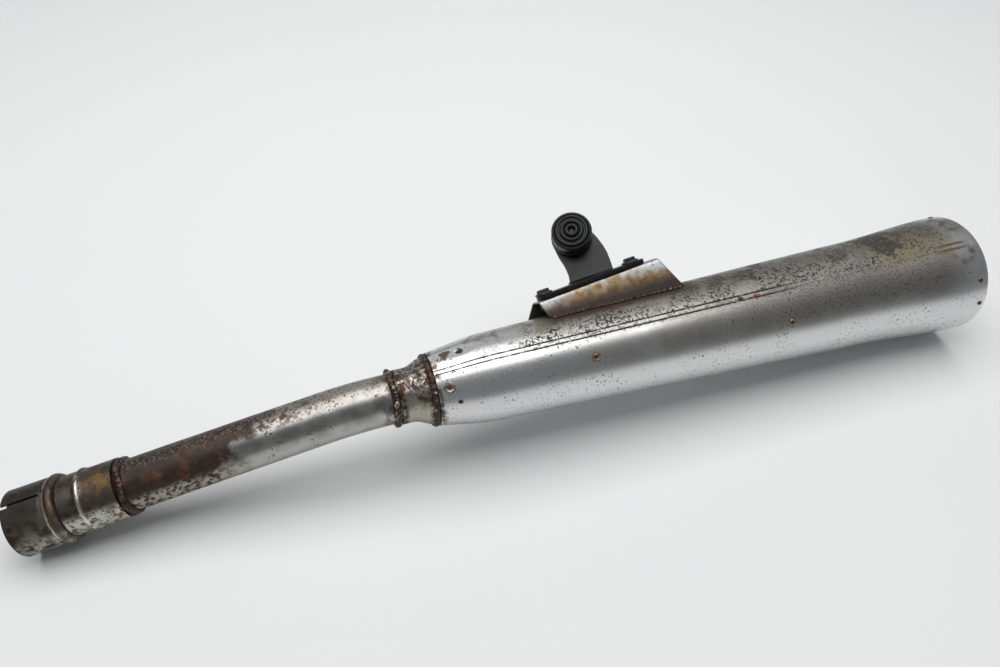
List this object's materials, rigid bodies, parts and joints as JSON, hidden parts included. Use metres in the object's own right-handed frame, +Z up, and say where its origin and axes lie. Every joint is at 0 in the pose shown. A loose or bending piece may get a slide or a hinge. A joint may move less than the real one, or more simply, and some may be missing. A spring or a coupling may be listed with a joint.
{
  "type": "motorcycle exhaust muffler",
  "caption": "Tapered steel motorcycle muffler with a flared tail, a bent head pipe with a slotted slip-joint inlet, and a bolted stay that carries a rubber stopper.",
  "frame": {"origin": "bottom centre of the bounding box, on the surface that the muffler lies on", "axes": "+X along the muffler towards the tail, +Z up as it lies, +Y away from the side with the seam; the mounting channel points up and to +Y"},
  "size_m": [0.7048, 0.1326, 0.1238],
  "materials": {
    "worn_chrome": "worn and pitted plating, freckled with rust",
    "rusty_pipe": "rusty steel with bare silver patches",
    "rusty_socket": "dark brown rust, worn bright on its rim",
    "weld_metal": "dark, rippled and rusty",
    "inner_steel": "sooty steel",
    "heat_stained_steel": "golden brown heat tint and rust",
    "black_steel": "satin black paint",
    "dark_zinc": "dull dark zinc",
    "black_rubber": "moulded black rubber",
    "gasket_graphite": "matt graphite"
  },
  "bodies": {
    "root": {"channel_weld_far": "weld_metal", "channel_weld_near": "weld_metal", "front_baffle_plate": "inner_steel", "head_pipe": "rusty_pipe", "inlet_joint_gasket": "gasket_graphite", "inlet_sleeve": "rusty_pipe", "inlet_socket": "rusty_socket", "mounting_channel": "heat_stained_steel", "outer_shell": "worn_chrome", "outlet_tube": "inner_steel", "perforated_diffuser_tube": "inner_steel", "plug_weld_front_baffle": "weld_metal", "plug_weld_rear_baffle": "weld_metal", "plug_weld_reducer": "weld_metal", "plug_weld_tail_low": "weld_metal", "plug_weld_tail_near": "weld_metal", "plug_weld_tail_top": "weld_metal", "rear_baffle_plate": "inner_steel", "reducer_bell": "worn_chrome", "reducer_weld_bead": "weld_metal", "rubber_stopper": "black_rubber", "shell_seam_weld": "worn_chrome", "shell_weld_bead": "weld_metal", "sleeve_weld_bead": "weld_metal", "stay_bolt_front": "dark_zinc", "stay_bolt_rear": "dark_zinc", "stay_plate": "black_steel", "tail_cap": "inner_steel", "transfer_tube_lower": "inner_steel", "transfer_tube_upper": "inner_steel", "weld_nut_front": "dark_zinc", "weld_nut_rear": "dark_zinc"}
  },
  "joints": []
}
